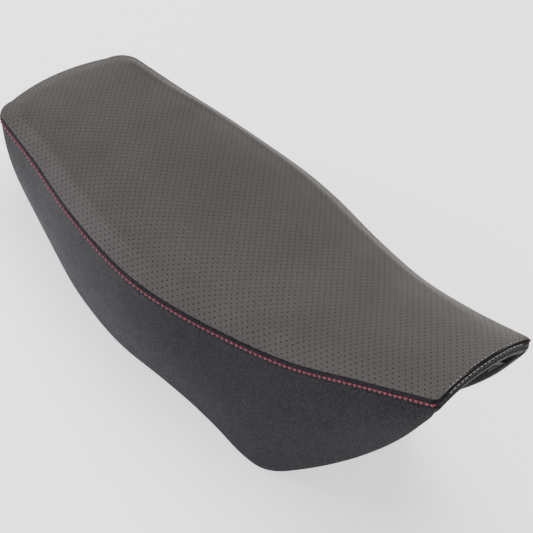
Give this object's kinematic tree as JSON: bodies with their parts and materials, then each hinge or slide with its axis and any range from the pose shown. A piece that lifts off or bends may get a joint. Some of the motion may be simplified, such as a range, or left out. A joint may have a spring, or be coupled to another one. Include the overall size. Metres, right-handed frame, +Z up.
{
  "type": "motorcycle seat",
  "caption": "Two-up motorcycle seat: stepless crowned top in perforated vinyl, deep stitched side panels that drop to a wing each side, on a moulded base with pads, tongue and latch bar.",
  "frame": {"origin": "middle of the seat's footprint on the bench that it lies on, halfway along and across its bounding box", "axes": "+Y from the nose to the tail, +X to the rider's left, +Z up from the bench; the seat lies 9.32 degrees tail down from how it is mounted"},
  "size_m": [0.236, 0.6154, 0.27],
  "materials": {
    "vinyl_perforated": "matt grained vinyl with small punched holes in a diagonal lattice",
    "vinyl_side": "matt grained vinyl",
    "foam": "moulded polyurethane foam",
    "base_plastic": "moulded polypropylene, fine texture",
    "pad_rubber": "moulded rubber",
    "painted_steel": "black powder coat",
    "plated_steel": "zinc plated"
  },
  "bodies": {
    "root": {"cover_top_panel": "vinyl_perforated", "cover_side_panel_left": "vinyl_side", "cover_side_panel_right": "vinyl_side", "cover_nose_band": "vinyl_side", "foam_cushion": "foam", "seat_base": "base_plastic", "front_tongue": "painted_steel", "latch_striker": "painted_steel", "frame_pad_front_left": "pad_rubber", "frame_pad_front_right": "pad_rubber", "frame_pad_middle_left": "pad_rubber", "frame_pad_middle_right": "pad_rubber", "frame_pad_rear_left": "pad_rubber", "frame_pad_rear_right": "pad_rubber", "tongue_bolt_1": "plated_steel", "tongue_bolt_2": "plated_steel", "striker_bolt_1": "plated_steel", "striker_bolt_2": "plated_steel", "striker_bolt_3": "plated_steel", "striker_bolt_4": "plated_steel"}
  },
  "joints": []
}
